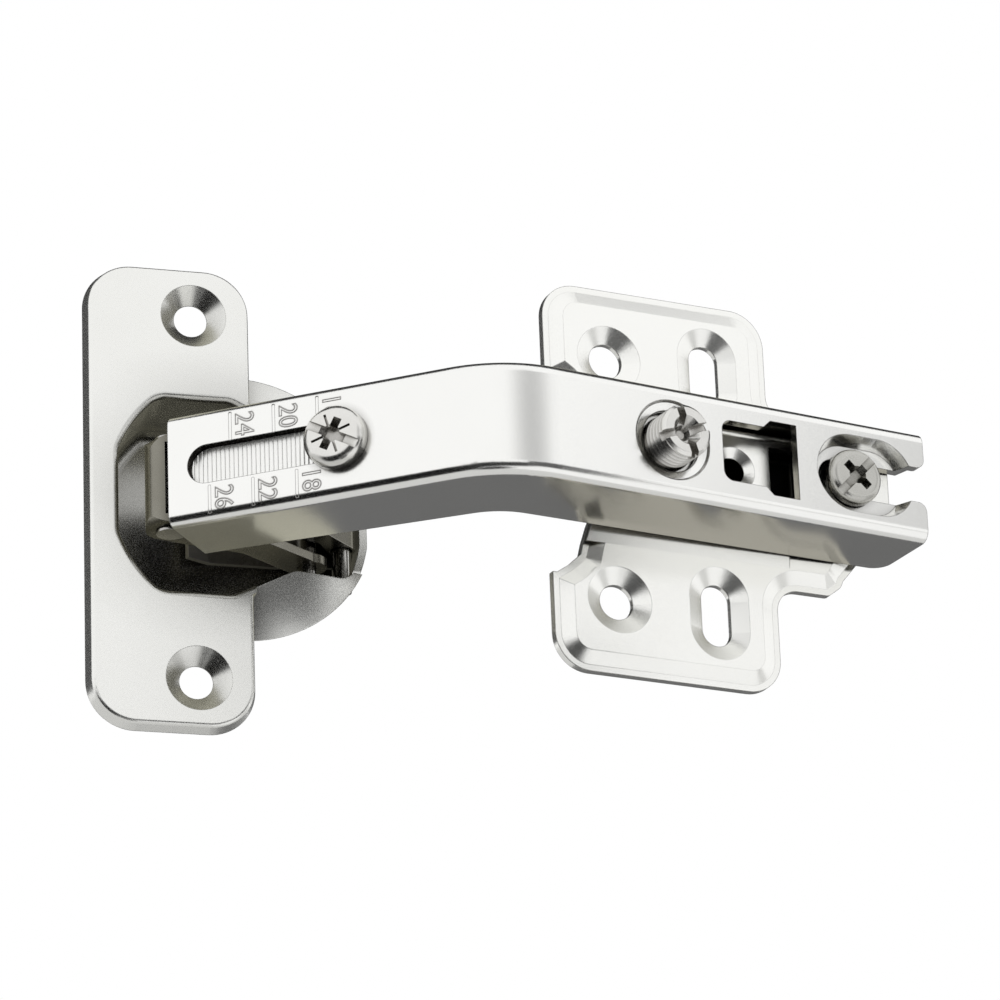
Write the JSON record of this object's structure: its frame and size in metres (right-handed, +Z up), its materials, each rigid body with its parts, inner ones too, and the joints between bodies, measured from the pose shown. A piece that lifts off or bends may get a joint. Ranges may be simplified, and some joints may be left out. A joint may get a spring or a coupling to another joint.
{
  "type": "corner cabinet hinge",
  "caption": "Concealed spring cabinet hinge for a corner door, with a drawn cup, a folding link pair, a bent adjustable arm and a screw-on mounting plate.",
  "frame": {"origin": "midway between the two round screw holes of the mounting plate, on its back face", "axes": "+Z up along the hinge pins; +X along the panel, away from the door; +Y into the panel, so -Y leaves the plate's back towards the arm"},
  "size_m": [0.0969, 0.054, 0.0612],
  "materials": {
    "plate_steel": "satin nickel plate",
    "arm_steel": "satin nickel plate",
    "cup_steel": "satin nickel plate",
    "link_steel": "satin nickel plate",
    "screw_steel": "bright nickel plate",
    "pin_steel": "bright nickel plate",
    "spring_steel": "satin nickel plate"
  },
  "bodies": {
    "plate": {"mounting_plate": "plate_steel"},
    "fixing_screw": {"fixing_screw": "screw_steel"},
    "arm": {"hinge_arm": "arm_steel"},
    "side_screw": {"side_adjust_screw": "screw_steel"},
    "carrier": {"link_carrier": "link_steel", "carrier_outer_pin": "pin_steel", "carrier_inner_pin": "pin_steel"},
    "clamp_screw": {"clamp_screw": "screw_steel"},
    "outer_link": {"outer_link": "link_steel"},
    "inner_link": {"inner_link": "link_steel"},
    "cup": {"hinge_cup": "cup_steel", "cup_outer_pin": "pin_steel", "cup_inner_pin": "pin_steel", "closing_spring": "spring_steel"}
  },
  "joints": [
    {"name": "depth_slide", "type": "slide", "parent": "plate", "child": "arm", "axis": [1, 0, 0], "range_m": [-0.003, 0.001]},
    {"name": "overlay_slide", "type": "slide", "parent": "arm", "child": "carrier", "axis": [-0.6947, 0.7193, 0], "range_m": [0, 0.017]},
    {"name": "link_swing", "type": "hinge", "parent": "carrier", "child": "outer_link", "pos_m": [-0.0501, 0.01964, 0], "axis": [0, 0, -1], "range_deg": [0, 18.29], "stiffness_Nm_per_rad": 0.2, "springref_deg": -5.73},
    {"name": "cup_swing", "type": "hinge", "parent": "outer_link", "child": "cup", "pos_m": [-0.02952, 0.02556, 0], "axis": [0, 0, -1], "range_deg": [0, 41.82]},
    {"name": "inner_link_swing", "type": "hinge", "parent": "carrier", "child": "inner_link", "pos_m": [-0.04244, 0.02269, 0], "axis": [0, 0, -1], "range_deg": [0, 35.82]},
    {"name": "fixing_screw_turn", "type": "hinge", "parent": "plate", "child": "fixing_screw", "pos_m": [0.02783, -0.012, 0], "axis": [0, -1, 0], "continuous": true},
    {"name": "side_screw_turn", "type": "hinge", "parent": "arm", "child": "side_screw", "pos_m": [0.00129, -0.01521, 0], "axis": [0.0698, -0.9976, 0], "continuous": true},
    {"name": "clamp_screw_turn", "type": "hinge", "parent": "carrier", "child": "clamp_screw", "pos_m": [-0.03686, -0.00117, 0], "axis": [-0.7193, -0.6947, 0], "continuous": true}
  ],
  "couplings": [
    {"joint": "cup_swing", "follows": "link_swing", "ratio": 2.281},
    {"joint": "inner_link_swing", "follows": "link_swing", "ratio": 1.953}
  ]
}
